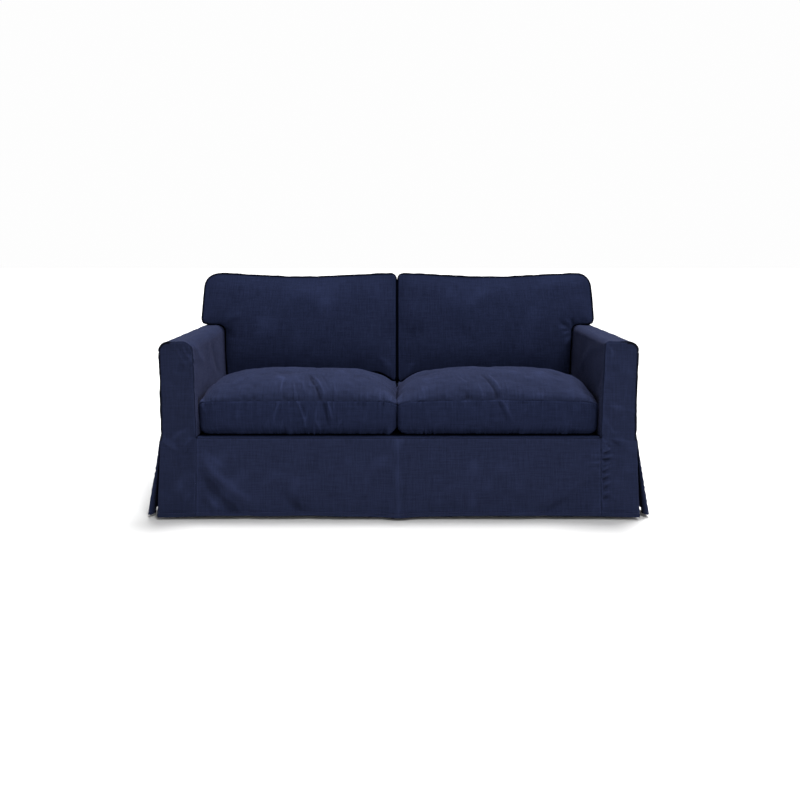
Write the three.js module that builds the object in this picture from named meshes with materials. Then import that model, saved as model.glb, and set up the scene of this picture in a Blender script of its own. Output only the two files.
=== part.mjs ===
// A fitted slipcover for a two-seat sofa: a body cover with a floor-length skirt and open kick
// pleats at the front corners, two boxed seat cushion covers and two back cushion covers, each
// with a lobe over the arm. All of it is hollow cloth. The sofa and its fillings are left out.
// Millimetres. X runs to the right, Y to the back and Z up, from the floor under the middle.
import * as THREE from "three";

// The cloth and its seams.
const clothThick = 2;
const seamGap = 0.3;
const restGap = 0.4;
const navy = { color: 0x1e2339, roughness: 0.92, metalness: 0 };

// The body cover.
const overallDepth = 920;
const frontSwing = 20;
const backSwing = 8;
const frontPlane = -overallDepth / 2 + frontSwing;
const backPlane = overallDepth / 2 - backSwing;
const deckTop = 296;
const armTop = 650;
const armRound = 34;
const armShoulder = armTop - armRound;
const armOutside = 891;
const armWaist = 881.5;
const armInsideFront = { low: 751, lean: 0.038 };
const armInsideBack = { low: 741, lean: 0.113, from: 510 };
const backTop = 760;
const backRound = 25;
const backShoulder = backTop - backRound;
const backDepth = 650;
const backLean = 0.365;
const leanFrom = 446;
const bandCrown = 5;

// The skirt and its kick pleats, as they hang at the hem.
const hemSwing = 8;
const cornerFlare = 43;
const plainFlare = 12;
const flareReach = 190;
const frontEdgeFlare = 9;
const curlTop = 220;
const nose = { set: 30, turn: [5, 21], tip: [15, 19], end: [25, 47] };
const frontTurn = 14;
const flap = { top: 330, bottom: 3, legX: 830, legY: 18, tipX: 884, tipY: 56, endX: 893, endY: 120 };

// The cushion covers. They meet a little to the left of the middle.
const meetLeft = 6;
const seat = {
  inside: 1.2, sideGap: 2, set: 44, back: 647, round: 22, crown: 84, frontReach: 200,
  bulge: 16, restTop: 446, pressFrom: 0.56, pressTo: 0.72,
};
const cushion = {
  set: 500, lean: 0.333, thick: 145, bottom: 446.4, inside: 1.5,
  lobe: 879, lobeTuck: 863, round: 18, topRound: 20, lobeRound: 50,
  lobeSwell: 45, top: 876, dip: 12, dipFrom: 700, drop: 47, crown: 38, crownReach: 75,
  sideGap: 2.5, tuckRound: 31, puff: 7,
};

// How the two seat covers differ: the seam's height in front, and how far in from each side
// the crown takes to rise.
const seatShape = {
  left: { ends: 422, middle: 423, insideReach: 150, outsideReach: 185 },
  right: { ends: 419, middle: 427, insideReach: 180, outsideReach: 160 },
};

// Folds in the front, each a ridge (+) or a trough (-) from one point to another.
const frontFolds = [
  { x: 2, z: 250, toX: 2, toZ: -20, height: 12, width: 42 },
  { x: -700, z: 205, toX: -535, toZ: 45, height: 6, width: 30 },
  { x: -715, z: 150, toX: -560, toZ: 10, height: -6, width: 26 },
  { x: -425, z: 75, toX: -335, toZ: 20, height: -5, width: 32 },
  { x: 690, z: 105, toX: 535, toZ: 20, height: -5, width: 34 },
  { x: -868, z: 262, toX: -815, toZ: 205, height: 4, width: 16 },
  { x: 470, z: 200, toX: 430, toZ: 20, height: 3, width: 60 },
  { x: -170, z: 180, toX: -215, toZ: 10, height: 3, width: 55 },
];
// Folds in the outer sides of the skirt, with y counted from the front plane.
const sideFolds = [
  { y: 250, z: 240, toY: 300, toZ: 0, height: 9, width: 60 },
  { y: 470, z: 220, toY: 450, toZ: 0, height: -7, width: 60 },
  { y: 650, z: 230, toY: 690, toZ: 0, height: 7, width: 65 },
];

// Heights of the rows of points that upright panels share, so that their seams meet.
const hemRows = [0, 40, 90, 150, curlTop, deckTop];
const armRows = [deckTop, leanFrom, 530, armShoulder];
const backRows = [armShoulder, 680, backShoulder];
// Shares of the way along an arm, front to back.
const armSteps = [0, 0.14, 0.32, 0.55, 0.78, 1];
const capAngles = [0, 30, 60, 90];

const clamp = (v, low, high) => Math.min(Math.max(v, low), high);
const lerp = (a, b, t) => a + (b - a) * t;
const ease = (t) => {
  const s = clamp(t, 0, 1);
  return s * s * (3 - 2 * s);
};
const range = (count) => Array.from({ length: count + 1 }, (_, i) => i / count);
const radians = (degrees) => (degrees * Math.PI) / 180;

// A hump that is 0 at t = 0 and t = 1 and 1 in the middle, with its own steepness at each end.
function hump(t, power, endPower = power) {
  const off = Math.abs(2 * clamp(t, 0, 1) - 1);
  return 1 - off ** (t < 0.5 ? power : endPower);
}

// How far folds lift a point (a, b) of a panel.
function lift(folds, a, b) {
  let sum = 0;
  for (const [a0, b0, a1, b1, height, width] of folds) {
    const along = ((a - a0) * (a1 - a0) + (b - b0) * (b1 - b0)) / ((a1 - a0) ** 2 + (b1 - b0) ** 2);
    const t = clamp(along, 0, 1);
    const away = Math.hypot(a - lerp(a0, a1, t), b - lerp(b0, b1, t));
    sum += height * Math.exp(-((away / width) ** 2));
  }
  return sum;
}
const frontLines = frontFolds.map((f) => [f.x, f.z, f.toX, f.toZ, f.height, f.width]);
const sideLines = sideFolds.map((f) => [f.y, f.z, f.toY, f.toZ, f.height, f.width]);

// 0 at the deck and above, 1 at the hem.
const hang = (z) => clamp(1 - z / deckTop, 0, 1);

// Y of the front: flat above, swinging out a little towards the hem, with its folds.
function frontY(x, z) {
  const folds = lift(frontLines, x, z) * ease(hang(z) * 3);
  return frontPlane - hemSwing * hang(z) ** 2 - folds;
}

// Y of the panel behind the back cushions: upright below, leaning back above the seats.
const insideBackY = (z) => frontPlane + backDepth + Math.max(0, z - leanFrom) * backLean;
const outsideBackY = (z) => backPlane + backSwing * hang(z) ** 2;

// X of the inner arm, and below the deck of the seam beside the front panel.
function armInsideX(y, z) {
  const t = clamp((y - frontPlane) / armInsideBack.from, 0, 1);
  const rise = Math.max(0, z - deckTop);
  const front = armInsideFront.low + armInsideFront.lean * rise;
  return lerp(front, armInsideBack.low + armInsideBack.lean * rise, t);
}

// X of the outer side: nearly upright on the arm, flaring below, most of all at the front corner.
function sideX(y, z) {
  if (z >= deckTop) {
    return armWaist + (armOutside - armWaist) * clamp((z - deckTop) / (armShoulder - deckTop), 0, 1) ** 2;
  }
  const behind = Math.max(0, y - frontPlane - nose.set);
  const flare = plainFlare + cornerFlare * Math.exp(-((behind / flareReach) ** 2));
  return armWaist + (flare + lift(sideLines, y - frontPlane, z)) * hang(z);
}

// A point share f of the way from the front to the back cushions, at height z beside an arm.
function besideArm(z, f) {
  const start = frontY(armInsideX(frontPlane, z), z);
  const y = lerp(start, insideBackY(z), f);
  return { y, x: armInsideX(y, z) };
}

// The points over an arm at share f, from its inner shoulder over the top to the outer one.
function armCap(side, f) {
  const points = [];
  const inner = besideArm(armShoulder, f).x;
  for (const angle of capAngles) {
    const z = armShoulder + armRound * Math.sin(radians(angle));
    const x = inner + armRound * (1 - Math.cos(radians(angle)));
    points.push([side * x, lerp(frontPlane, insideBackY(z), f), z]);
  }
  for (const angle of [...capAngles].reverse()) {
    const z = armShoulder + armRound * Math.sin(radians(angle));
    const x = armOutside - armRound * (1 - Math.cos(radians(angle)));
    points.push([side * x, lerp(frontPlane, insideBackY(z), f), z]);
  }
  return points;
}

// The outline over the back, left to right, with its rounded corners; y gives the depth.
function backOutline(y) {
  const points = [];
  const corner = armOutside - backRound;
  for (const angle of [0, 45, 90]) {
    const z = backShoulder + backRound * Math.sin(radians(angle));
    points.push([-(corner + backRound * Math.cos(radians(angle))), y(z), z]);
  }
  for (const t of range(8).slice(1, -1)) {
    points.push([lerp(-corner, corner, t), y(backTop), backTop]);
  }
  return [...points, ...points.slice(0, 3).reverse().map(([x, py, z]) => [-x, py, z])];
}

// ---- From rows of points to thick cloth ----

const apart = (p, q) => Math.hypot(p[0] - q[0], p[1] - q[1], p[2] - q[2]);

// Joins two rows of points with triangles: one for one where their counts agree, and
// otherwise always along the shorter way across.
function zip(rowA, rowB, triangles) {
  const lastA = rowA.length - 1;
  const lastB = rowB.length - 1;
  let a = 0;
  let b = 0;
  while (a < lastA || b < lastB) {
    const even = lastA === lastB;
    const shorter = () => apart(rowA[a + 1], rowB[b]) <= apart(rowA[a], rowB[b + 1]);
    const stepA = b === lastB || (a < lastA && (even ? a === b : shorter()));
    if (stepA) {
      triangles.push([rowA[a], rowA[a + 1], rowB[b]]);
      a += 1;
    } else {
      triangles.push([rowA[a], rowB[b + 1], rowB[b]]);
      b += 1;
    }
  }
}

const placeOf = (p) => p.map((v) => Math.round(v * 100)).join();
const vector = (p) => new THREE.Vector3(...p);

// A stretch of cloth through rows of points, facing away from the point behind it.
function patch(rows, behind) {
  const triangles = [];
  for (let r = 0; r + 1 < rows.length; r += 1) zip(rows[r], rows[r + 1], triangles);
  const real = triangles.filter((t) => new Set(t.map(placeOf)).size === 3);
  let facing = 0;
  for (const t of real) {
    const [a, b, c] = t.map(vector);
    const normal = b.clone().sub(a).cross(c.clone().sub(a));
    facing += normal.dot(a.clone().sub(vector(behind)));
  }
  return facing < 0 ? real.map(([a, b, c]) => [a, c, b]) : real;
}

// One cut piece of cloth: its corners, each named once, and its faces.
function cutCloth(name, patches) {
  const places = new Map();
  const corners = [];
  const number = (p) => {
    const key = placeOf(p);
    if (!places.has(key)) {
      places.set(key, corners.length);
      corners.push({ key, at: vector(p), normal: new THREE.Vector3(), edges: [] });
    }
    return places.get(key);
  };
  const faces = patches.flat().map((t) => t.map(number));
  for (const face of faces) {
    const [a, b, c] = face.map((i) => corners[i].at);
    const normal = b.clone().sub(a).cross(c.clone().sub(a)).normalize();
    face.forEach((i, k) => {
      const to = corners[face[(k + 1) % 3]].at.clone().sub(corners[i].at);
      const from = corners[face[(k + 2) % 3]].at.clone().sub(corners[i].at);
      corners[i].normal.addScaledVector(normal, to.angleTo(from));
    });
  }
  corners.forEach((c) => c.normal.normalize());
  return { name, corners, faces, rim: rimOf(corners, faces) };
}

// The edges that only one face has, each with the middle of that face.
function rimOf(corners, faces) {
  const edges = new Map();
  for (const face of faces) {
    face.forEach((i, k) => {
      const j = face[(k + 1) % 3];
      const back = `${j} ${i}`;
      if (edges.has(back)) {
        edges.delete(back);
      } else {
        const middle = new THREE.Vector3();
        face.forEach((n) => middle.addScaledVector(corners[n].at, 1 / 3));
        edges.set(`${i} ${j}`, { from: i, to: j, middle });
      }
    });
  }
  return [...edges.values()];
}

// The shortest move whose share along each of the directions is the distance wanted there.
function moveBy(wanted) {
  const held = 0.004;
  const sums = new Array(9).fill(0);
  const right = new THREE.Vector3();
  for (const [direction, distance] of wanted) {
    const d = direction.toArray();
    d.forEach((v, i) => d.forEach((w, j) => (sums[3 * i + j] += v * w)));
    right.addScaledVector(direction, distance);
  }
  [0, 4, 8].forEach((i) => (sums[i] += held));
  return right.applyMatrix3(new THREE.Matrix3().set(...sums).invert());
}

// Which way from a rim edge the cloth lies, square to the edge and to its mitre.
function inwards(cloth, edge, mitre) {
  const { from, to, middle } = edge;
  const along = cloth.corners[to].at.clone().sub(cloth.corners[from].at).normalize();
  const square = along.clone().cross(mitre).normalize();
  const facing = middle.clone().sub(cloth.corners[from].at).dot(square);
  return facing < 0 ? square.negate() : square;
}

// Gives the cloths of one cover their thickness. Where two meet, both rims are mitred and
// drawn back by half the seam's gap.
function sew(cloths) {
  const meeting = new Map();
  const seams = new Map();
  for (const cloth of cloths) {
    for (const c of cloth.corners) meeting.set(c.key, [...(meeting.get(c.key) ?? []), c.normal]);
    for (const e of cloth.rim) {
      const key = [cloth.corners[e.from].key, cloth.corners[e.to].key].sort().join(" ");
      seams.set(key, (seams.get(key) ?? 0) + 1);
    }
  }
  return cloths.map((cloth) => {
    const mitres = cloth.corners.map((c) => moveBy(meeting.get(c.key).map((n) => [n, -clothThick])));
    for (const e of cloth.rim) {
      const key = [cloth.corners[e.from].key, cloth.corners[e.to].key].sort().join(" ");
      const gap = seams.get(key) > 1 ? seamGap / 2 : 0;
      for (const i of [e.from, e.to]) {
        cloth.corners[i].edges.push([inwards(cloth, e, mitres[i]), gap]);
      }
    }
    const outer = cloth.corners.map((c) => c.at.clone().add(moveBy(c.edges)));
    const inner = outer.map((p, i) => p.clone().add(mitres[i]));
    return clothMesh(cloth, outer, inner);
  });
}

function clothMesh(cloth, outer, inner) {
  const count = outer.length;
  const index = [];
  for (const [a, b, c] of cloth.faces) {
    index.push(a, b, c, a + count, c + count, b + count);
  }
  // Both sides of a seam split their rim the same way, so a twisted rim still clears the other.
  for (const { from, to } of cloth.rim) {
    if (cloth.corners[from].key < cloth.corners[to].key) {
      index.push(to, from, from + count, to, from + count, to + count);
    } else {
      index.push(to, from, to + count, from, from + count, to + count);
    }
  }
  const geometry = new THREE.BufferGeometry();
  const positions = [...outer, ...inner].flatMap((p) => p.toArray());
  geometry.setAttribute("position", new THREE.Float32BufferAttribute(positions, 3));
  geometry.setIndex(index);
  geometry.computeVertexNormals();
  const mesh = new THREE.Mesh(geometry, new THREE.MeshStandardMaterial(navy));
  mesh.name = cloth.name;
  return mesh;
}

// ---- The body cover. side is -1 on the left and 1 on the right. ----

const sideName = (side) => (side < 0 ? "left" : "right");
const skirtX = range(28).map((t) => lerp(-armInsideFront.low, armInsideFront.low, t));

// The front panel, from the deck to the hem.
function frontSkirt() {
  const rows = hemRows.map((z) => skirtX.map((x) => [x, frontY(x, z), z]));
  return cutCloth("front_skirt", [patch(rows, [0, 0, 150])]);
}

// X of the arm front's outer edge, which frees itself from the side below the deck.
const frontEdgeX = (z) => (z >= deckTop ? sideX(frontPlane, z) : armWaist + frontEdgeFlare * hang(z));

// The arm's front, with its pleat edge turned back.
function armFront(side) {
  const cap = armCap(side, 0);
  const inner = Math.abs(cap[0][0]);
  const shares = cap.map(([x]) => (Math.abs(x) - inner) / (armOutside - inner));
  const row = (z) => shares.map((t) => {
    const x = side * lerp(armInsideX(frontPlane, z), frontEdgeX(z), t);
    return [x, frontY(x, z), z];
  });
  const rows = [...hemRows, ...armRows.slice(1)].map(row);
  rows.push(cap);
  const turned = hemRows.slice(0, -1).map((z) => {
    const x = side * frontEdgeX(z);
    const turn = frontTurn * Math.sqrt(hang(z));
    return [[x, frontY(x, z), z], [x - side, frontY(x, z) + turn, z]];
  });
  return cutCloth(`arm_front_${sideName(side)}`, [
    patch(rows, [side * 820, 0, 300]),
    patch(turned, [side * 850, frontPlane + frontTurn, 60]),
  ]);
}

// The inner arm and the arm's top, over both rounded shoulders.
function armCover(side) {
  const rows = armSteps.map((f) => {
    const upright = armRows.slice(0, -1).map((z) => {
      const { x, y } = besideArm(z, f);
      return [side * x, y, z];
    });
    return [...upright, ...armCap(side, f)];
  });
  return cutCloth(`arm_${sideName(side)}`, [patch(rows, [side * 820, 0, 400])]);
}

// The foot of the side's front edge at height z: the outermost point of its rolled fold.
function foldStart(side, z) {
  if (z >= deckTop) {
    const x = side * sideX(frontPlane, z);
    return [x, frontY(x, z), z];
  }
  const y = frontPlane + nose.set * hang(z);
  return [side * sideX(y, z), y, z];
}

// The outer side, from the arm's shoulder and the back's top to the hem, with the fold that
// rolls in at the pleat.
function sideCover(side) {
  const behindArm = (z) => {
    const start = insideBackY(Math.max(z, armShoulder));
    return range(2).map((t) => lerp(start, outsideBackY(z), t));
  };
  const row = (z) => {
    const start = foldStart(side, z);
    const ys = armSteps.slice(1, -1).map((f) => lerp(start[1], insideBackY(armShoulder), f));
    return [start, ...[...ys, ...behindArm(z)].map((y) => [side * sideX(y, z), y, z])];
  };
  const low = [...hemRows, ...armRows.slice(1)].map(row);
  const high = backRows.map((z) => behindArm(z).map((y) => [side * armOutside, y, z]));
  const rolled = hemRows.slice(0, -1).map((z) => {
    const [x, y] = foldStart(side, z);
    const q = hang(z);
    const around = [nose.turn, nose.tip, nose.end].map(([dx, dy]) => {
      return [x - side * dx * q, y + (dy - nose.set) * q, z];
    });
    return [[x, y, z], ...around];
  });
  return cutCloth(`side_${sideName(side)}`, [
    patch(low, [side * 820, 0, 300]),
    patch(high, [side * 820, 300, 700]),
    patch(rolled, [side * 912, frontPlane + 44, 60]),
  ]);
}

// The flap behind the open pleat: tucked into the corner at its top, swung out at its hem.
function pleatFlap(side) {
  const room = clothThick + restGap;
  const tight = [
    [flap.legX - 6, frontPlane + room],
    [armWaist - room - 10, frontPlane + room],
    [armWaist - room, frontPlane + room + 10],
    [armWaist - room, frontPlane + 62],
  ];
  const open = [
    [flap.legX, frontPlane + flap.legY],
    [flap.tipX - 14, frontPlane + flap.tipY - 12],
    [flap.tipX, frontPlane + flap.tipY],
    [flap.endX, frontPlane + flap.endY],
  ];
  const heights = [flap.bottom, ...hemRows.slice(1), flap.top];
  const rows = heights.map((z) => tight.map(([x, y], i) => {
    return [side * lerp(x, open[i][0], hang(z)), lerp(y, open[i][1], hang(z)), z];
  }));
  return cutCloth(`pleat_${sideName(side)}`, [patch(rows, [side * 800, frontPlane + 150, 100])]);
}

// The panel under the seat cushions.
function deck() {
  const rows = armSteps.map((f, k) => {
    if (k === 0) return skirtX.map((x) => [x, frontY(x, deckTop), deckTop]);
    const { x, y } = besideArm(deckTop, f);
    return range(6).map((t) => [lerp(-x, x, t), y, deckTop]);
  });
  return cutCloth("deck", [patch(rows, [0, 0, 100])]);
}

// The panel behind the back cushions: between the arms below, over them above.
function insideBack() {
  const between = (z) => {
    const { x, y } = besideArm(z, 1);
    return range(6).map((t) => [lerp(-x, x, t), y, z]);
  };
  const over = (z) => range(10).map((t) => [lerp(-armOutside, armOutside, t), insideBackY(z), z]);
  const overArms = [
    ...armCap(-1, 1).reverse(),
    ...between(armShoulder).slice(1, -1),
    ...armCap(1, 1),
  ];
  const behind = [0, 400, 500];
  return cutCloth("inside_back", [
    patch(armRows.map(between), behind),
    patch([overArms, ...backRows.slice(1).map(over), backOutline(insideBackY)], behind),
  ]);
}

// The band over the top of the back.
function backBand() {
  const middle = backOutline((z) => (insideBackY(z) + outsideBackY(z)) / 2).map(([x, y, z]) => {
    return [x, y, z + bandCrown * ease((armOutside - Math.abs(x)) / 120)];
  });
  const rows = [backOutline(insideBackY), middle, backOutline(outsideBackY)];
  return cutCloth("back_band", [patch(rows, [0, 400, 500])]);
}

// The rear panel, down to the hem.
function outsideBack() {
  const upright = [...hemRows, ...armRows.slice(1), ...backRows.slice(1)];
  const rows = upright.map((z) => {
    const y = outsideBackY(z);
    const x = sideX(y, z);
    return range(6).map((t) => [lerp(-x, x, t), y, z]);
  });
  rows.push(backOutline(outsideBackY));
  return cutCloth("outside_back", [patch(rows, [0, 300, 400])]);
}

function bodyCover() {
  return sew([
    frontSkirt(), deck(), insideBack(), backBand(), outsideBack(),
    ...[-1, 1].flatMap((side) => [armFront(side), armCover(side), sideCover(side)]),
  ]);
}

// ---- The seat cushion covers ----

// Shares across a cover of width w whose corners are rounded by r, with points on the arcs.
function cornered(r, w, steps) {
  const arc = r / w;
  const straight = steps.map((t) => lerp(arc, 1 - arc, t));
  return [0, arc / 2, ...straight, 1 - arc / 2, 1];
}

// Pulls a point of a rectangle's corner zone onto the rounded corner.
function roundCorner(u, v, w, h, r) {
  const dx = Math.max(0, r - Math.min(u, w - u)) / r;
  const dy = Math.max(0, r - Math.min(v, h - v)) / r;
  const inX = r * (dx - dx * Math.sqrt(1 - (dy * dy) / 2));
  const inY = r * (dy - dy * Math.sqrt(1 - (dx * dx) / 2));
  return [u < w / 2 ? u + inX : u - inX, v < h / 2 ? v + inY : v - inY];
}

function seatCover(side) {
  const name = sideName(side);
  const shape = seatShape[name];
  const inside = seat.inside - side * meetLeft;
  const width = armInsideFront.low - seat.sideGap - inside;
  const depth = seat.back - seat.set;
  const across = cornered(seat.round, width, [0, 0.04, 0.11, 0.22, 0.5, 0.78, 0.89, 0.96, 1]);
  const along = cornered(seat.round, depth, [0, 0.05, 0.13, 0.25, 0.4, 0.54, 0.64, 0.745, 1]);

  // A point at shares a (inner edge to arm) and b (front to back), its corners rounded.
  const place = ([a, b], z) => {
    const [u, v] = roundCorner(a * width, b * depth, width, depth, seat.round);
    const y = frontPlane + seat.set + v;
    const x = lerp(inside, armInsideX(y, z) - seat.sideGap, u / width);
    return [side * x, y, z];
  };
  const seamZ = ([a, b]) => {
    const frontZ = lerp(shape.ends, shape.middle, hump(a, 2));
    return lerp(frontZ, lerp(seat.restTop - 31, seat.restTop - 2, a), b);
  };
  // The crown swells up steeply from the seam and is pressed flat where the back cushion rests.
  const crownZ = ([a, b]) => {
    const seam = seamZ([a, b]);
    const near = [a * width / shape.insideReach, (1 - a) * width / shape.outsideReach];
    near.push(b * depth / seat.frontReach);
    const edge = near.reduce((sum, t) => sum + (1 - clamp(t, 0, 1)) ** 10, 0) ** 0.1;
    const free = seat.crown * Math.sqrt(1 - Math.min(edge, 1) ** 2);
    const endFall = 1 - clamp((b - 0.96) / 0.04, 0, 1) ** 2;
    const rest = (seat.restTop - seam) * Math.min(1, hump(a, 9) * 1.6) * endFall;
    return seam + lerp(free, rest, ease((b - seat.pressFrom) / (seat.pressTo - seat.pressFrom)));
  };

  const centre = [side * 370, frontPlane + 340, 360];
  const grid = along.map((b) => across.map((a) => [a, b]));
  const top = grid.map((row) => row.map((ab) => place(ab, crownZ(ab))));
  const loop = [
    ...grid[0],
    ...grid.slice(1).map((row) => row.at(-1)),
    ...grid.at(-1).slice(0, -1).reverse(),
    ...grid.slice(0, -1).map((row) => row[0]).reverse(),
  ];
  const base = deckTop + restGap;
  const ring = (t) => loop.map((ab) => {
    const out = seat.bulge * Math.sin(Math.PI * t) * (1 - ease(ab[1] / 0.04)) * hump(ab[0], 8);
    const [x, y, z] = place(ab, lerp(base, seamZ(ab), t));
    return [x, y - out, z];
  });
  const half = loop.length / 2 - 0.5;
  const bottom = ring(0);
  return sew([
    cutCloth(`seat_top_${name}`, [patch(top, centre)]),
    cutCloth(`seat_boxing_${name}`, [patch([0, 0.5, 1].map(ring), centre)]),
    cutCloth(`seat_bottom_${name}`, [
      patch([bottom.slice(0, half + 1), bottom.slice(half).reverse()], centre),
    ]),
  ]);
}

// ---- The back cushion covers ----

// Rows of a back cover's outline and inside, as (x, z), inner edge to arm, bottom to top.
function cushionRows(side) {
  const c = cushion;
  const inside = c.inside - side * meetLeft;
  const armX = (z) => armInsideBack.low + armInsideBack.lean * (z - deckTop) - c.sideGap;
  const inArc = (r, h) => r - Math.sqrt(r * r - (r - h) * (r - h));
  const inner = (z) => {
    if (z < c.bottom + c.round) return inside + inArc(c.round, z - c.bottom);
    return z > c.top - c.topRound ? inside + inArc(c.topRound, c.top - z) : inside;
  };
  const shoulder = armInsideX(backPlane, armShoulder) - c.sideGap;
  const curve = c.tuckRound;
  const lobeBottom = armTop + restGap;
  const outer = (z) => {
    if (z < c.bottom + c.round) return armX(z) - inArc(c.round, z - c.bottom);
    if (z <= lobeBottom - curve) return armX(z);
    if (z < lobeBottom) {
      const up = z - (lobeBottom - curve);
      return shoulder + curve - Math.sqrt(curve * curve - up * up);
    }
    if (z > c.top - c.lobeRound) return c.lobe - inArc(c.lobeRound, c.top - z);
    return lerp(c.lobeTuck, c.lobe, ease((z - lobeBottom) / c.lobeSwell));
  };
  const low = [c.bottom, c.bottom + 0.3 * c.round, c.bottom + c.round, 530, lobeBottom - curve];
  low.push(lobeBottom - 0.4 * curve, lobeBottom - 0.12 * curve);
  const lowRows = low.map((z) => [inner(z), outer(z), z]);
  lowRows.push([inside, shoulder + curve, lobeBottom]);
  const high = [lobeBottom + c.lobeSwell / 2, 730, 800];
  high.push(...[1, 0.45, 0.14].map((part) => c.top - part * c.lobeRound));
  const highRows = high.map((z) => [inner(z), outer(z), z]);
  highRows.push([inside + c.topRound, c.lobe - c.lobeRound, c.top]);
  const steps = range(8);
  const points = ([from, to, z]) => steps.map((t) => [lerp(from, to, t), z]);
  const lower = lowRows.map(points);
  const overArm = [[lerp(shoulder + curve, c.lobeTuck, 0.5), lobeBottom], [c.lobeTuck, lobeBottom]];
  const upper = [[...lower.at(-1), ...overArm], ...highRows.map(points)];
  return { lower, upper, overArm };
}

// How far a point lies inside an outline of straight stretches.
function depthInside(outline, [x, z]) {
  let least = Infinity;
  outline.forEach(([x0, z0], i) => {
    const [x1, z1] = outline[(i + 1) % outline.length];
    const long = (x1 - x0) ** 2 + (z1 - z0) ** 2 || 1;
    const t = clamp(((x - x0) * (x1 - x0) + (z - z0) * (z1 - z0)) / long, 0, 1);
    least = Math.min(least, Math.hypot(x - lerp(x0, x1, t), z - lerp(z0, z1, t)));
  });
  return least;
}

function cushionCover(side) {
  const name = sideName(side);
  const c = cushion;
  const { lower, upper, overArm } = cushionRows(side);
  const loop = [
    ...lower[0],
    ...lower.slice(1).map((row) => row.at(-1)),
    ...overArm,
    ...upper.slice(1).map((row) => row.at(-1)),
    ...upper.at(-1).slice(0, -1).reverse(),
    ...upper.slice(1, -1).map((row) => row[0]).reverse(),
    ...lower.slice(1).map((row) => row[0]).reverse(),
  ];
  const dipped = ([x, z]) => {
    const sag = c.dip * hump(x / c.lobe, 2.5) * ease((z - c.dipFrom) / (c.top - c.dipFrom));
    return [x, z - sag];
  };
  const outline = loop.map(dipped);
  const faceY = (z) => frontPlane + c.set + (z - leanFrom) * c.lean;
  // depth: 0 on the face's seam, 1 on the rear panel's seam.
  const place = (point, depth, proud = 0) => {
    const [x, z] = dipped(point);
    const tip = clamp((z - armTop) / (c.top - armTop), 0, 1);
    const y = faceY(z) + depth * c.thick - proud;
    return [side * x, y, z - depth * c.drop * tip];
  };
  const face = (point) => {
    const deep = depthInside(outline, dipped(point));
    return place(point, 0, c.crown * (1 - Math.exp(-deep / c.crownReach)));
  };
  const ends = (row) => [row[0], row.at(-1)];
  const rear = (point) => place(point, 1);
  const rearLow = [lower[0], ...lower.slice(1, -1).map(ends), lower.at(-1)];
  const rearHigh = [upper[0], ...upper.slice(1, 4).map(ends), ...upper.slice(4)];
  const centre = [side * 430, faceY(690) + c.thick / 2, 690];
  const middle = loop.map((point) => {
    const [x, y, z] = place(point, 0.5);
    return [x, y, z + c.puff * ease((point[1] - c.top + 12) / 12)];
  });
  const closed = (row) => [...row, row[0]];
  const rings = [loop.map((p) => place(p, 0)), middle, loop.map(rear)].map(closed);
  const panel = (parts, put) => parts.map((rows) => patch(rows.map((r) => r.map(put)), centre));
  return sew([
    cutCloth(`back_face_${name}`, panel([lower, upper], face)),
    cutCloth(`back_boxing_${name}`, [patch(rings, centre)]),
    cutCloth(`back_rear_${name}`, panel([rearLow, rearHigh], rear)),
  ]);
}

const slipcover = new THREE.Group();
slipcover.add(...bodyCover());
for (const side of [-1, 1]) {
  slipcover.add(...sew([pleatFlap(side)]), ...seatCover(side), ...cushionCover(side));
}

export default slipcover;
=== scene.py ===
import math

import bpy
import numpy as np
from mathutils.geometry import delaunay_2d_cdt
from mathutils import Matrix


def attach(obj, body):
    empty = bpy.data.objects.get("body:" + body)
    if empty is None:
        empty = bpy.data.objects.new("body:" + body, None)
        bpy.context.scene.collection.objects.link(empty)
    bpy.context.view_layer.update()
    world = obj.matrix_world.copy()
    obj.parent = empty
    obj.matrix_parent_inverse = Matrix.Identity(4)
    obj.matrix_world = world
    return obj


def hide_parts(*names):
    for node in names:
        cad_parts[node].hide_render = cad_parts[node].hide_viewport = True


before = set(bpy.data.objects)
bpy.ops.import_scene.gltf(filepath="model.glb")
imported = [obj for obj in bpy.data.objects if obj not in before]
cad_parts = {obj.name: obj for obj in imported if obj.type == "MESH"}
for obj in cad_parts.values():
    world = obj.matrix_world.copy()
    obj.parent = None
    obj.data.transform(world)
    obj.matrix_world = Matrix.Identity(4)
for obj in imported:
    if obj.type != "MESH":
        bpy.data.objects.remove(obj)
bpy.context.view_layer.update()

# ---- Front panel ----
# The front of the skirt is one plain panel of a heavy cotton and linen weave. It is sewn to the
# front edge of the seat deck and to both arm fronts, and hangs to the floor with a 14 mm hem.
cloth_thick = 0.002
front_at = -0.440
deck_top = 0.296
hem_swing = 0.008
seam_low = 0.751
stitch_line = 0.014
hem_rows = np.array([0.008, 0.0105, 0.0125, stitch_line, 0.0155, 0.0175])
seam_rows = np.array([0, 0.0012, 0.0028, 0.005])
seam_clear, hem_clear = 0.008, 0.004
sides = ((-1, "left"), (1, "right"))
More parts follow.
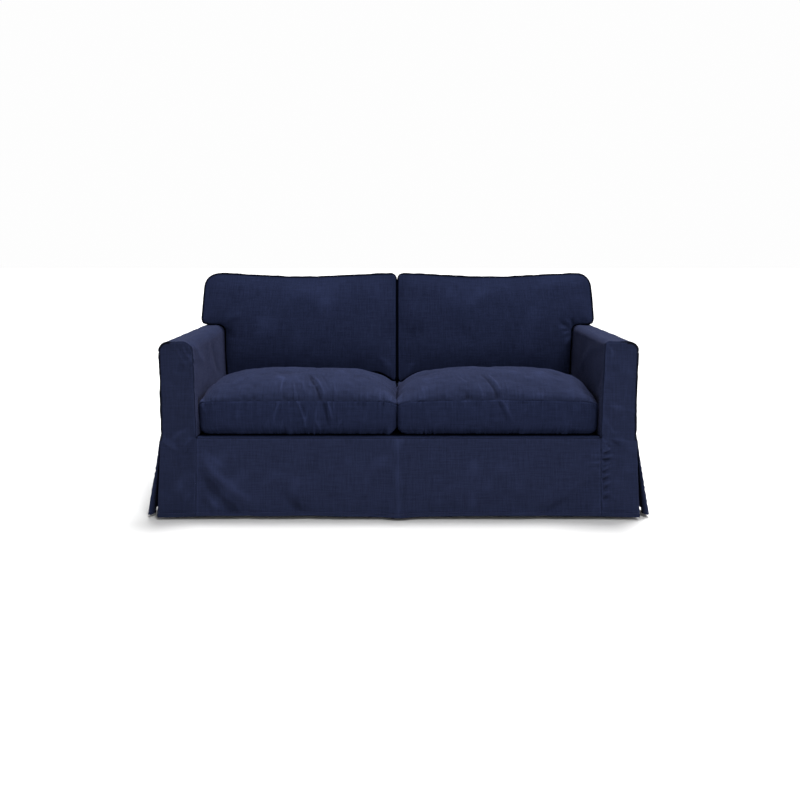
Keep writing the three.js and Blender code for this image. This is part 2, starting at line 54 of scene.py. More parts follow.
# Rows in mm: x, z, to x, to z, height, width. A crease ends with its half width and bow.
front_folds = [
    (2, 250, 2, -20, 12, 42), (-700, 205, -535, 45, 6, 30), (-715, 150, -560, 10, -6, 26),
    (-425, 75, -335, 20, -5, 32), (690, 105, 535, 20, -5, 34), (-868, 262, -815, 205, 4, 16),
    (470, 200, 430, 20, 3, 60), (-170, 180, -215, 10, 3, 55),
]
front_creases = [
    (-735, 242, -540, 65, 6.5, 11, 20), (-742, 180, -555, -15, -7.5, 11, 16),
    (-740, 268, -620, 170, 3, 7, 6), (-735, 80, -680, -5, -5, 8, 2),
    (-738, 120, -640, 5, 3.6, 7, 4), (-440, 100, -320, -5, -5, 12, 8),
    (-410, 110, -285, 5, 2.6, 12, 8), (-520, 210, -300, 120, 1.8, 18, 14),
    (-4, 330, 4, -60, 3.8, 6, 1), (12, 285, 30, -60, -3, 10, 1), (735, 175, 510, 5, -5.2, 12, -20),
    (745, 215, 560, 50, 2.6, 12, -20), (745, 268, 640, 150, 2.8, 11, -12),
    (300, 250, 270, 20, 1.8, 16, 4),
]


def ease(t):
    t = np.clip(t, 0, 1)
    return t * t * (3 - 2 * t)


def bell(t):
    return np.exp(-(t**2))


def hang(z):
    """0 at the deck and above it, 1 at the hem."""
    return np.clip(1 - z / deck_top, 0, 1)


def join(*parts):
    return np.concatenate(parts)


def place(*coordinates):
    """Points from their coordinates, each a number, a list or a grid."""
    return np.stack(np.broadcast_arrays(*coordinates), axis=-1)


def folds(table, a, b):
    """How far wide, soft folds lift the flat points (a, b)."""
    lift = np.zeros_like(a, dtype=float)
    for a0, b0, a1, b1, high, wide in np.array(table) / 1000:
        t = ((a - a0) * (a1 - a0) + (b - b0) * (b1 - b0)) / ((a1 - a0) ** 2 + (b1 - b0) ** 2)
        t = np.clip(t, 0, 1)
        away = np.hypot(a - a0 - t * (a1 - a0), b - b0 - t * (b1 - b0))
        lift += high * bell(away / wide)
    return lift


def creases(table, flat):
    """How far narrow creases lift some flat points. Each crease fades out at both its ends."""
    a, b = np.reshape(flat, (-1, 2)).T
    lift = np.zeros(len(a))
    for a0, b0, a1, b1, high, wide, bow in np.array(table) / 1000:
        run = math.hypot(a1 - a0, b1 - b0)
        t = ((a - a0) * (a1 - a0) + (b - b0) * (b1 - b0)) / run**2
        off = ((a - a0) * (b1 - b0) - (b - b0) * (a1 - a0)) / run - 4 * bow * t * (1 - t)
        fade = np.sin(np.pi * np.clip(t, 0, 1)) ** 0.6
        lift += high * fade / np.cosh(np.clip(off / wide, -20, 20))
    return lift


def uneven(points, size, seed):
    """Soft unevenness of standard height 1, the same for every cloth at a place."""
    rng = np.random.default_rng(seed)
    ways = rng.normal(size=(3, 20))
    ways *= rng.uniform(0.6, 1.6, 20) * (2 * np.pi / size) / np.linalg.norm(ways, axis=0)
    waves = np.cos(np.reshape(points, (-1, 3)) @ ways + rng.uniform(0, 2 * np.pi, 20))
    return waves.sum(axis=1) / math.sqrt(10)


def front_y(x, z):
    """The front's own plane, from which it swings forward towards the hem."""
    return front_at - (hem_swing * hang(z) ** 2 + folds(front_folds, x, z) * ease(hang(z) * 3))


def marks(low, high, step, hem=False):
    """Marks from low to high, closer together beside both seams, or beside a hem's stitches."""
    first = join(seam_rows, hem_rows) if hem else seam_rows
    inner = np.linspace(low + first[-1] + 0.003, high - seam_clear,
                        max(2, round((high - low - first[-1] - 0.011) / step)))
    return join(low + first, inner, high - seam_rows[::-1])


def hem_lift(points):
    """The front's hem clears the floor by a few millimetres, except in its middle."""
    x, y, z = points.T
    lift = 0.0048 * (1 - bell(x / 0.13)) * (1 - ease((np.abs(x) - 0.62) / 0.30))
    lift += 0.0006 * np.sin(17 * x + 1) + 0.0008
    return lift * bell((y - front_at) / 0.10) * hang(z)


def hem_relief(z):
    """The hem is two cloths thick up to its line of stitches, which pulls a fine groove."""
    past = z - stitch_line
    return 0.0007 * (1 - ease(past / 0.002)) * ease(z / 0.003) - 0.0013 * bell(past / 0.0016)


def net(points, closed=False):
    """Numbers the triangles of a grid of points."""
    at = np.arange(points.shape[0] * points.shape[1]).reshape(points.shape[:2])
    after = np.roll(at, -1, axis=1) if closed else at[:, 1:]
    at = at if closed else at[:, :-1]
    a, b, c, d = at[:-1], after[:-1], after[1:], at[1:]
    return np.concatenate([np.stack(t, axis=-1).reshape(-1, 3) for t in ((a, b, c), (a, c, d))])


def cut(name, points, faces, flat, inside, size, relief=0, shade=0, line=0.5,
        held="stretched", **facts):
    """One piece of cloth, cut and shaped but not yet sewn. It faces away from the point inside.

    shade is painted shade for how deep in a gap it lies, and line is painted shade along its seams,
    how dark and how broad."""
    points = np.reshape(points, (-1, 3))
    points = points + place(0, 0, hem_lift(points))
    a, b, c = points[faces].swapaxes(0, 1)
    if (np.cross(b - a, c - a) * (a - inside)).sum() < 0:
        faces = faces[:, ::-1]
    zero = np.zeros(len(points))
    return dict(name=name, points=points, faces=faces, flat=np.reshape(flat, (-1, 2)), size=size,
                held=held, facts=facts, relief=zero + np.ravel(relief),
                shade=zero + np.ravel(shade), line=zero + np.ravel(line))


x, z = np.meshgrid(marks(-seam_low, seam_low, 0.0065), marks(0, deck_top, 0.0050, hem=True))
points, flat = place(x, front_y(x, z), z), place(x, z)
relief = creases(front_creases, flat) + 0.0010 * uneven(points, 0.11, 1) + hem_relief(z.ravel())
# Painted shade along the top seam, faint along the seams with the arm fronts.
cover = [cut(
    "front_skirt", points, net(points), flat, (0, 0, 0.15), (1.53, 0.34), relief,
    line=np.where(z > 0.290, 0.5, 0.12), with_pieces=["front_skirt_hem"], held="hung")]

# ---- Arm fronts ----
# Each arm front runs in one piece from the rounded top of the arm to the floor. Below the deck
# its outer edge is free: it is turned back 14 mm and forms the front of the kick pleat.
arm_top = 0.650
arm_outside = 0.8945
arm_waist = 0.8850
shoulder = arm_top - 0.034
outer_round = 0.036
front_edge_flare = 0.009
front_turn = 0.014
turn_bend = 0.003
# How round the arm's inner shoulder is, in front and at the back cushions.
inner_round = {"left": (0.042, 0.036), "right": (0.018, 0.034)}
# Painted shade over the whole of the left arm front, so it lies darker all over than the right.
painted_front_shade = {"left": 0.15, "right": 0.0}
# x is out from the middle.
arm_front_creases = {"left": [
    (884, 306, 815, 240, 5, 6.2, 4), (882, 290, 832, 258, 3.6, 4.5, 0),
    (884, 272, 846, 250, -3, 4.5, 0), (760, 335, 850, 280, 4.4, 7, -10),
    (756, 304, 815, 232, 4, 6.2, -6), (758, 284, 800, 225, -3.2, 5.2, 0),
    (806, 646, 768, 584, 4, 4.4, -4), (816, 642, 776, 570, -3.4, 3.8, -4),
    (828, 640, 784, 556, 3.4, 4.2, -3), (842, 640, 796, 548, -2.2, 4.2, -3),
    (796, 630, 764, 598, -3, 3.4, 0), (786, 610, 763, 576, 3.4, 3.6, 0),
    (776, 584, 762, 556, -2.8, 3.4, 0), (870, 520, 800, 430, 2.4, 10, 10),
    (780, 200, 850, 60, 3, 12, 10), (762, 110, 800, 50, 2.4, 6, 2),
], "right": [
    (756, 284, 888, 272, 6.2, 5, -8), (758, 296, 826, 262, -5, 4.6, -4),
    (754, 296, 786, 246, 5.6, 3.4, 3), (754, 282, 794, 258, -5, 3.2, 2),
    (752, 238, 794, 262, 5.4, 3.4, -2), (752, 226, 792, 248, -4.8, 3, -2),
    (752, 212, 796, 234, 5.2, 3.4, -2), (752, 200, 786, 216, -4.4, 3, -1),
    (752, 188, 786, 204, 4.4, 3.2, -1), (752, 172, 792, 192, 6, 3.4, -2),
    (752, 161, 784, 176, -5.4, 3, -1), (752, 148, 788, 164, 6, 3.2, -1),
    (752, 132, 782, 146, -5.4, 3.2, -1), (752, 116, 788, 132, 6, 3.4, -1),
    (752, 98, 780, 112, -5, 3.2, -1), (752, 82, 786, 96, 5.6, 3.4, -1),
    (752, 62, 780, 74, -4.8, 3.2, -1), (770, 412, 884, 384, 3.6, 6, -8),
    (764, 360, 804, 300, 3, 5.4, -4), (764, 615, 772, 500, 3.4, 3.6, 0),
    (776, 640, 800, 600, 3.4, 3.6, 0), (792, 640, 790, 560, 2.6, 4.2, 0),
    (775, 90, 845, 40, 2.8, 9, 3),
]}


def arm_x(y, z):
    """The inner side of the arm, which leans out more and more towards the back."""
    t = np.clip((y - front_at) / 0.510, 0, 1)
    rise = np.maximum(0, z - deck_top)
    return (1 - t) * (seam_low + 0.044 * rise) + t * (0.741 + 0.113 * rise)


def arm_outer_x(z):
    rise = np.clip((z - deck_top) / (shoulder - deck_top), 0, 1)
    return arm_waist + (arm_outside - arm_waist) * rise**2


def turn(x, z, across, up, steps):
    """A quarter turn in even steps. It leaves (x, z) straight up or down and ends going across."""
    angle = np.linspace(0, math.pi / 2, steps)
    return place(x + across * (1 - np.cos(angle)), z + up * np.sin(angle))


def outer_turn(steps):
    """The rounded outer shoulder of the arm, from its top outwards."""
    return turn(arm_outside, arm_top - outer_round, -outer_round, outer_round, steps)[::-1]


def run(start, end, step):
    """Even points on a straight line, without its last one."""
    start, end = np.asarray(start, float), np.asarray(end, float)
    count = max(1, round(np.linalg.norm(end - start) / step))
    return start + (end - start) * (np.arange(count) / count)[:, None]


def edge_distance(points, starts, ends):
    """For each point the distance to the nearest of some edges, which one, and how far along."""
    found = []
    along = ends - starts
    squared = np.maximum((along**2).sum(axis=1), 1e-14)
    for k in range(0, len(points), 1500):
        some = points[k:k + 1500]
        t = np.clip((some @ along.T - (starts * along).sum(axis=1)) / squared, 0, 1)
        gap = np.zeros_like(t)
        for axis in range(points.shape[1]):
            gap += (some[:, axis, None] - starts[:, axis] - t * along[:, axis]) ** 2
        best = gap.argmin(axis=1)
        rows = np.arange(len(some))
        found.append((np.sqrt(gap[rows, best]), best, t[rows, best]))
    return [np.concatenate(each) for each in zip(*found)]


def filled(outline, step, hem=None):
    """Fills a flat outline with points, closer together along its edge, and triangles.

    hem holds where the marks on the hem's rows begin, how far they go, and their step."""
    ends = np.roll(outline, -1, axis=0)
    turned = (outline[:, 0] * ends[:, 1] - outline[:, 1] * ends[:, 0]).sum()
    way = ends - np.roll(outline, 1, axis=0)
    inward = place(-way[:, 1], way[:, 0]) * np.sign(turned)
    inward /= np.linalg.norm(inward, axis=1)[:, None]
    low, high = outline.min(axis=0), outline.max(axis=0)
    grid = np.stack(np.meshgrid(*[np.arange(l, h, step) for l, h in zip(low, high)]), axis=-1)
    grid[::2, :, 0] += step / 2
    rings = [(outline + inward * set_in, set_in) for set_in in (*seam_rows[1:], seam_clear)]
    if hem:
        on_hem = np.stack(np.meshgrid(np.arange(*hem), hem_rows[1:]), axis=-1).reshape(-1, 2)
        rings.insert(2, (on_hem, hem_clear))
        grid = grid[grid[:, :, 1] > hem_rows[-1] + hem_clear]
    rings.append((grid.reshape(-1, 2), seam_clear + 0.45 * step))
    corners = outline.tolist()
    count = len(corners)
    for ring, least in rings:
        gap, edge, t = edge_distance(ring, outline, ends)
        foot = outline[edge] + (ends - outline)[edge] * t[:, None]
        fits = (gap > 0.93 * least) & (((ring - foot) * inward[edge]).sum(axis=1) > 0)
        if hem and least > hem_clear:
            fits &= ring[:, 1] > hem_rows[-1] + 0.002
        corners += ring[fits].tolist()
    edges = [(k, (k + 1) % count) for k in range(count)]
    made = delaunay_2d_cdt(corners, edges, [], 1, 1e-7)
    return np.array([tuple(v) for v in made[0]]), np.array(made[2])


for side, name in sides:
    radius = inner_round[name][0]
    inner_start = arm_top - radius
    inner_x = arm_x(front_at, inner_start)
    heights = np.linspace(deck_top, 0, 38)
    free_edge = arm_waist + front_edge_flare * hang(heights) + front_turn * np.sqrt(hang(heights))
    outer_z = np.linspace(arm_top - outer_round, deck_top, 40)[1:-1]
    inner_turn = turn(inner_x, inner_start, radius, radius, 9)
    outline = join(
        run((seam_low, 0), (seam_low, deck_top), 0.005),
        run((seam_low, deck_top), (inner_x, inner_start), 0.005),
        inner_turn[:-1],
        run((inner_turn[-1, 0], arm_top), (arm_outside - outer_round, arm_top), 0.006),
        outer_turn(9),
        place(arm_outer_x(outer_z), outer_z),
        place(free_edge, heights)[:-1],
        run((free_edge[-1], 0), (seam_low, 0), 0.007),
    )
    flat, faces = filled(outline, 0.0034, (seam_low + 0.005, 0.905, 0.006))
    u, z = flat.T
    edge = arm_waist + front_edge_flare * hang(z)
    bend = turn_bend * np.clip(hang(z) * 8, 0.02, 1)
    past = np.maximum(u - edge + bend, 0)
    angle = np.minimum(past / bend, math.pi / 2)
    x = np.minimum(u, edge - bend) + bend * np.sin(angle)
    back = bend * (1 - np.cos(angle)) + np.maximum(past - bend * math.pi / 2, 0)
    x, back = np.where(z >= deck_top, (u, 0 * u), (x, back))
    points = place(side * x, front_y(side * x, z) + back, z)
    relief = creases(arm_front_creases[name], flat) + 0.0009 * uneven(points, 0.07, 2)
    relief += hem_relief(z)
    # Painted shade on the turned-back edge and over the left front, dark painted shade along the
    # outer edge and faint painted shade along the other seams.
    cover += [cut(
        "arm_front_" + name, points, faces, flat, (side * 0.82, 0, 0.3), (0.20, 0.70),
        relief * (back < 0.002), np.maximum(0.95 * ease((back - 0.003) / 0.003), painted_front_shade[name]),
        np.where(u > 0.85, 1.5, np.where(z > 0.61, 0.4, 0.12)), area=0.105,
        with_pieces=[f"arm_front_{name}_hem"])]

# ---- Sides and kick pleats ----
# The outer side hangs from the shoulder of the arm and the top of the back to the floor. At the
# front its free edge rolls in towards the corner. A separate flap closes the open pleat behind.
back_plane = 0.452
back_shoulder = 0.735
plain_flare = 0.012
corner_flare = 0.043
nose_set = 0.030
back_set, back_lean, rest_top = 0.650, 0.365, 0.446
# These rows go by y behind the front plane, and z.
side_folds = [
    (250, 240, 300, 0, 9, 60), (470, 220, 450, 0, -7, 60), (650, 230, 690, 0, 7, 65),
]
side_creases = [
    (60, 330, 200, 100, 3.2, 16, 20), (350, 280, 340, 10, 2.8, 18, 6),
    (560, 300, 600, 20, -3.2, 20, -8), (700, 560, 480, 380, 2.4, 22, 20),
    (800, 300, 830, 20, 2.8, 18, 5), (120, 560, 300, 470, -2, 20, 10),
]


def inside_back_y(z):
    return front_at + back_set + np.maximum(0, z - rest_top) * back_lean


def outside_back_y(z):
    return back_plane + 0.008 * hang(z) ** 2


def side_x(y, z):
    behind = np.maximum(0, y - front_at - nose_set)
    flare = plain_flare + corner_flare * bell(behind / 0.190)
    low = arm_waist + (flare + folds(side_folds, y - front_at, z)) * hang(z)
    return np.where(z >= deck_top, arm_outer_x(z), low)


def gone(points, axis=0):
    """How far along its line each point lies. The line follows the given axis."""
    steps = np.diff(points, axis=axis, prepend=points.take([0], axis))
    return np.cumsum(np.linalg.norm(steps, axis=-1), axis=axis)


# The rolled edge, from the side's front edge: how far in and how far back.
t = np.linspace(0, 1, 60)[:, None]
roll = (3 * (1 - t) ** 2 * t * np.array([0, -0.013])
        + 3 * (1 - t) * t**2 * np.array([0.021, -0.021]) + t**3 * np.array([0.025, 0.017]))
roll_length = gone(roll)

for side, name in sides:
    low_z = np.linspace(0, deck_top, 32)[:-1]
    front_low = front_at + (nose_set - roll_length[-1]) * hang(low_z)
    back_low = np.linspace(deck_top, 0, 32)
    lean_z = np.linspace(shoulder, back_shoulder, 14)[:-1]
    outline = join(
        place(front_low, low_z),
        run((front_at, deck_top), (front_at, shoulder), 0.012),
        run((front_at, shoulder), (inside_back_y(shoulder), shoulder), 0.012),
        place(inside_back_y(lean_z), lean_z),
        run((inside_back_y(back_shoulder), back_shoulder), (back_plane, back_shoulder), 0.012),
        run((back_plane, back_shoulder), (back_plane, deck_top), 0.012),
        place(outside_back_y(back_low), back_low)[:-1],
        run((outside_back_y(0), 0), (front_low[0], 0), 0.009),
    )
    flat, faces = filled(outline, 0.0105, (-0.480, 0.458, 0.009))
    y, z = flat.T
    share = np.maximum(hang(z), 1e-6)
    start = front_at + nose_set * hang(z)
    rolled = np.where(z < deck_top, np.maximum(0, start - y), 0) / share
    turned_in, turned_back = (np.interp(rolled, roll_length, way) * share for way in roll.T)
    y = np.where(rolled > 0, start + turned_back, y)
    hung_x = side_x(np.where(rolled > 0, np.maximum(y, start), y), z)
    points = place(side * (hung_x - turned_in), y, z)
    relief = creases(side_creases, place(y - front_at, z))
    relief += 0.0009 * uneven(points, 0.13, 3 + side)
    relief += hem_relief(z)
    # Painted shade inside the rolled edge, and dark painted shade along the seams.
    cover += [cut(
        "side_" + name, points, faces, flat, (side * 0.80, 0.05, 0.35), (0.98, 0.80),
        relief * (rolled == 0), 0.95 * ease((rolled - 0.034) / 0.008), 0.9, area=0.63,
        with_pieces=[f"side_{name}_hem"], held="hung")]

# Rows in mm: x when tucked tight, y behind the front plane, x when hung open, y.
flap_line = np.array([
    (824, 2.4, 830, 18),
    (869.1, 2.4, 870, 44),
    (879.1, 12.4, 884, 56),
    (879.1, 62, 893, 120),
]) / 1000
loose = []
for side, name in sides:
    wide, high = np.meshgrid(marks(0, 1, 0.05), marks(0.003, 0.330, 0.014))
    tight_x, tight_y, open_x, open_y = (np.interp(wide, (0, 0.42, 0.54, 1), column)
                                        for column in flap_line.T)
    x = tight_x + (open_x - tight_x) * hang(high)
    y = front_at + tight_y + (open_y - tight_y) * hang(high)
    points = place(side * x, y, high)
    # The whole flap is painted dark: painted shade deep in the pleat.
    loose += [cut(
        "pleat_" + name, points, net(points), place(wide * 0.13, high), (side * 0.80, -0.29, 0.1),
        (0.14, 0.35), 0.0006 * uneven(points, 0.05, 6), shade=0.95, held="hung")]

# ---- Arms ----
# One piece of cloth lines the inner side of the arm and goes over its top to the outer
# shoulder. It is sewn to the arm front, the side, the deck and the panel behind the cushions.
# By y behind the front plane, and the way up the cloth from the deck.
arm_creases = {"left": [
    (20, 360, 180, 250, 3.2, 12, 12), (300, 330, 420, 150, -2.8, 16, 14),
    (60, 160, 300, 210, 1.8, 16, 8), (240, 400, 470, 385, 2, 10, 4),
], "right": [
    (10, 340, 260, 300, 2, 10, 6), (200, 300, 400, 170, 2.8, 16, -12),
    (20, 260, 110, 130, -2.4, 12, 4),
]}


up_shares = marks(0, 0.33, 0.0085)[:-3] / 0.322
outer = outer_turn(10)
for side, name in sides:
    rows = []
    for f in marks(0, 0.70, 0.0085) / 0.70:
        radius = inner_round[name][0] * (1 - f) + inner_round[name][1] * f
        low_z = deck_top + up_shares * (arm_top - radius - deck_top)
        start = front_y(side * arm_x(front_at, low_z), low_z)
        y = start + (inside_back_y(low_z) - start) * f
        low = place(arm_x(y, low_z), y, low_z)
        inner = turn(low[-1, 0], low[-1, 2], radius, radius, 10)[1:]
        top = inner[-1] + (outer[0] - inner[-1]) * (np.arange(10) / 10)[:, None]
        x, z = join(inner[:-1], top, outer).T
        y = front_at + (inside_back_y(z) - front_at) * f
        rows.append(join(low, place(x, y, z)))
    points = np.stack(rows)
    behind, up = points[:, :, 1] - front_at, gone(points, 1)
    flat = place(behind, up)
    relief = creases(arm_creases[name], flat) + 0.0005 * uneven(points, 0.12, 8 + side)
    # Painted shade where the arm lines the gap beside the seat, and darker painted shade along the
    # seams over its outer top.
    seat_gap_shade = (behind > 0.044) * (1 - ease((up - 0.130) / 0.020))
    cover += [cut(
        "arm_" + name, points * (side, 1, 1), net(points), flat, (side * 0.82, 0, 0.4),
        (0.74, 0.54), relief, 0.9 * seat_gap_shade, np.where(up > 0.42, 1.1, 0.4))]

# ---- Deck and back ----
# The deck lies under the seat cushions. A panel leans behind the back cushions, a band goes
# over the frame's top, and the plain rear panel falls from the band to the floor.
back_round = 0.025
left = turn(-arm_outside, back_shoulder, back_round, back_round, 7)
# The rounded line over the back, from left to right, as x and z.
over = join(left[:-1], run(left[-1], left[-1] * (-1, 1), 0.018), (left * (-1, 1))[::-1])

y, x = np.meshgrid(marks(front_at, inside_back_y(0.3), 0.022), marks(-1, 1, 0.03),
                   indexing="ij")
x *= arm_x(y, deck_top)
y = np.where(y == front_at, front_y(x, deck_top), y)
points = place(x, y, deck_top)
# The deck is painted dark from just behind its front edge: painted shade under the seats.
cover += [cut(
    "deck", points, net(points), place(x, y), (0, 0, 0.1), (1.53, 0.68), line=0.3,
    shade=0.95 * ease((y - front_at - 0.009) / 0.009))]

caps = []
for _, name in sides:
    radius = inner_round[name][1]
    low_z = np.linspace(deck_top, arm_top - radius, 24)
    low = place(arm_x(inside_back_y(low_z), low_z), low_z)
    inner = turn(*low[-1], radius, radius, 10)[1:]
    caps.append(join(low, inner[:-1], run(inner[-1], outer[0], 0.008), outer))
outline = join(
    run((-caps[0][0, 0], deck_top), (caps[1][0, 0], deck_top), 0.018)[1:],
    caps[1],
    run(caps[1][-1], over[-1], 0.012)[1:],
    over[::-1],
    run(over[0], caps[0][-1] * (-1, 1), 0.012)[1:],
    (caps[0] * (-1, 1))[::-1],
)
flat, faces = filled(outline, 0.019)
x, z = flat.T
points = place(x, inside_back_y(z), z)
cover += [cut(
    "inside_back", points, faces, flat, (0, 0.4, 0.5), (1.82, 0.52),
    0.0008 * uneven(points, 0.14, 11))]

band = marks(0, 1, 0.10)[:, None]
y0, y1 = inside_back_y(over[:, 1]), outside_back_y(over[:, 1])
rise = 0.005 * ease((arm_outside - np.abs(over[:, 0])) / 0.120)
points = place(over[:, 0], y0 + (y1 - y0) * band, over[:, 1] + rise * np.sin(math.pi * band))
cover += [cut(
    "back_band", points, net(points), place(over[:, 0], band * 0.13), (0, 0.39, 0.5), (1.86, 0.16),
    0.0006 * uneven(points, 0.12, 12))]

edge_z = join(np.linspace(0, deck_top, 26)[:-1], np.linspace(deck_top, back_shoulder, 36)[:-1])
edge_x = side_x(outside_back_y(edge_z), edge_z)
right_edge = place(edge_x, edge_z)
outline = join(
    right_edge, over[::-1], (right_edge * (-1, 1))[::-1],
    run((-edge_x[0], 0), (edge_x[0], 0), 0.018)[1:],
)
flat, faces = filled(outline, 0.019, (-0.898, 0.9, 0.011))
x, z = flat.T
points = place(x, outside_back_y(z), z)
rear_creases = [
    (-600, 300, -560, 0, 3.2, 30, 10), (-120, 280, -160, 0, -2.8, 30, -10),
    (380, 300, 400, 0, 3.2, 34, 8), (-700, 690, -300, 480, 2, 30, 20),
    (720, 680, 360, 430, 2, 30, -20),
]
cover += [cut(
    "outside_back", points, faces, flat, (0, 0.3, 0.4), (1.82, 0.80),
    creases(rear_creases, flat) + 0.0008 * uneven(points, 0.15, 13) + hem_relief(z),
    with_pieces=["outside_back_hem"], held="hung")]

# ---- Sewing the body cover ----
# Every seam is a plain one: both edges are turned in, pulled down by the thread and puckered a
# little, with the turnings making a low ridge beside it. Free edges are turned under.
ridge_at, ridge_wide, ridge_high = 0.0045, 0.0028, 0.0006
thread_wide = 0.0017


def unit(v):
    return v / np.maximum(np.linalg.norm(v, axis=1), 1e-12)[:, None]


def normals_of(points, faces):
    a, b, c = points[faces].swapaxes(0, 1)
    total = np.zeros_like(points)
    for k in range(3):
        np.add.at(total, faces[:, k], np.cross(b - a, c - a))
    return unit(total)


def border_of(faces):
    """The edges that only one triangle has, in its own direction."""
    edges = join(faces[:, [0, 1]], faces[:, [1, 2]], faces[:, [2, 0]])
    _, first, count = np.unique(np.sort(edges, axis=1), axis=0, return_index=True,
                                return_counts=True)
    return edges[first[count == 1]]


def add(name, data):
    thing = bpy.data.objects.new(name, data)
    bpy.context.scene.collection.objects.link(thing)
    return thing


def made(cloth, points, worn, shade):
    """Gives a shaped cloth its thickness and makes it an object."""
    faces, border = cloth["faces"], cloth["border"]
    count = len(points)
    inner = points - normals_of(points, faces) * cloth_thick
    i, j = border.T
    rim = join(place(j, i, i + count), place(j, i + count, j + count))
    everything = join(faces, faces[:, ::-1] + count, rim)
    mesh = bpy.data.meshes.new(cloth["name"] + "_cloth")
    mesh.from_pydata(join(points, inner).tolist(), [], everything.tolist())
    corner = np.empty(len(mesh.loops), int)
    mesh.loops.foreach_get("vertex_index", corner)
    mesh.uv_layers.new(name="cloth").data.foreach_set("uv", cloth["flat"][corner % count].ravel())
    for label, value in (("worn", worn), ("shade", shade)):
        mesh.attributes.new(label, "FLOAT", "POINT").data.foreach_set("value", np.tile(value, 2))
    mesh.shade_smooth()
    mesh.set_sharp_from_angle(angle=math.radians(60))
    mesh.materials.append(gap_material if cloth["name"].startswith(in_gaps) else cloth_material)
    piece = add(cloth["name"] + "_cloth", mesh)
    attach(piece, "root")
    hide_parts(cloth["name"])
    return piece


def sew(cloths, soft, pucker, groove=0.0013, seed=20):
    """Sews cloths together along the edges they share.

    soft says how round a corner is at a place, and pucker how much its thread gathers the cloth."""
    for cloth in cloths:
        cloth["normal"] = normals_of(cloth["points"], cloth["faces"])
        cloth["border"] = border_of(cloth["faces"])
    for cloth in cloths:
        points, normal, border = cloth["points"], cloth["normal"], cloth["border"]
        rim = np.unique(border)
        middle, near = np.zeros_like(points), np.zeros(len(points))
        centre = points[cloth["faces"]].mean(axis=1)
        for k in range(3):
            np.add.at(middle, cloth["faces"][:, k], centre)
            np.add.at(near, cloth["faces"][:, k], 1)
        inward = unit(middle[rim] / near[rim][:, None] - points[rim])
        mitre = normal[rim].copy()
        joined, rounded, reach = np.zeros((3, len(rim)))
        reach += 1e-4
        for other in cloths:
            if other is cloth:
                continue
            starts, ends = other["points"][other["border"].T]
            gap, edge, t = edge_distance(points[rim], starts, ends)
            meets = gap < 0.0015
            first, second = other["normal"][other["border"][edge].T]
            facing = unit(first * (1 - t)[:, None] + second * t[:, None])
            mitre[meets] += facing[meets]
            joined[meets] = 1
            bend = np.arccos(np.clip((facing * normal[rim]).sum(axis=1), -0.3, 1))
            bend *= meets * ((inward * facing).sum(axis=1) < 0.05)
            rounded = np.maximum(rounded, soft(points[rim]) * (1 / np.cos(bend / 2) - 1))
            reach = np.maximum(reach, soft(points[rim]) * np.tan(bend / 2))
        free = joined == 0
        rounded[free], reach[free] = 0.0008, 0.002
        facts = np.zeros((len(points), 6))
        facts[rim] = np.column_stack([-unit(mitre), joined, rounded, reach])
        starts, ends = border.T
        away, edge, t = edge_distance(points, points[starts], points[ends])
        t, starts, ends = t[:, None], starts[edge], ends[edge]
        foot = points[starts] * (1 - t) + points[ends] * t
        facts = facts[starts] * (1 - t) + facts[ends] * t
        mitre, (joined, rounded, reach) = unit(facts[:, :3]), facts[:, 3:].T
        uneven_pull = 0.35 + 0.65 * ease(0.5 + 0.5 * uneven(foot, 0.16, seed + 1))
        pulled = pucker(foot) * uneven_pull * uneven(foot, 0.015, seed)
        pulled *= np.exp(-away / (0.010 + 4 * pucker(foot))) * (1 - np.exp(-away / 0.003))
        ridge = ridge_high * bell((away - ridge_at) / ridge_wide)
        up = cloth["relief"] * ease(away / 0.006) + joined * (pulled + ridge)
        down = rounded * np.clip(1 - away / reach, 0, 1) ** 2
        down += joined * groove * bell(away / thread_wide)
        cloth["finished"] = points + normal * up[:, None] + mitre * down[:, None]
        # The ridge beside each seam is rubbed light, and the crests of creases get a painted
        # highlight. Seams get painted shade in their gap, and deep troughs painted shade as well.
        worn = 0.6 * bell((away - ridge_at) / 0.0025) + 250 * np.maximum(up - 0.0010, 0)
        line = np.minimum(cloth["line"], 0.95) * joined
        line *= 1 - ease((away - 0.0042 * cloth["line"]) / 0.0038)
        trough_shade = np.clip(-110 * (up + 0.0014), 0, 0.36)
        shade = np.maximum(np.maximum(cloth["shade"], line), trough_shade)
        worn = np.clip(worn, 0, 1) * (1 - shade)
        cloth["object"] = made(cloth, cloth["finished"], worn, shade)


def fill(node, inputs):
    for label, value in inputs.items():
        node.inputs[label].default_value = value


def painted(name, inputs):
    """A material with some inputs of its shader set."""
    material = bpy.data.materials.new(name)
    material.use_nodes = True
    fill(material.node_tree.nodes["Principled BSDF"], inputs)
    return material


weave = bpy.data.node_groups.new("slubbed weave", "ShaderNodeTree")
for label, kind in (("Color", "Color"), ("Height", "Float")):
    weave.interface.new_socket(label, in_out="OUTPUT", socket_type="NodeSocket" + kind)
node, link = weave.nodes.new, weave.links.new
cloth_place = node("ShaderNodeUVMap")
cloth_place.uv_map = "cloth"
# Attributes for wear with painted highlights, and for painted shade.
wear_and_highlight_in, painted_shade_in = node("ShaderNodeAttribute"), node("ShaderNodeAttribute")
wear_and_highlight_in.attribute_name, painted_shade_in.attribute_name = "worn", "shade"


def pattern(kind, across, along, inputs):
    """A texture on the cloth's own plane, in units of across and along metres."""
    mapping, texture = node("ShaderNodeMapping"), node("ShaderNodeTex" + kind)
    fill(mapping, {"Scale": (1 / across, 1 / along, 1)})
    fill(texture, {"Scale": 1, **inputs})
    link(cloth_place.outputs["UV"], mapping.inputs["Vector"])
    link(mapping.outputs["Vector"], texture.inputs["Vector"])
    return texture


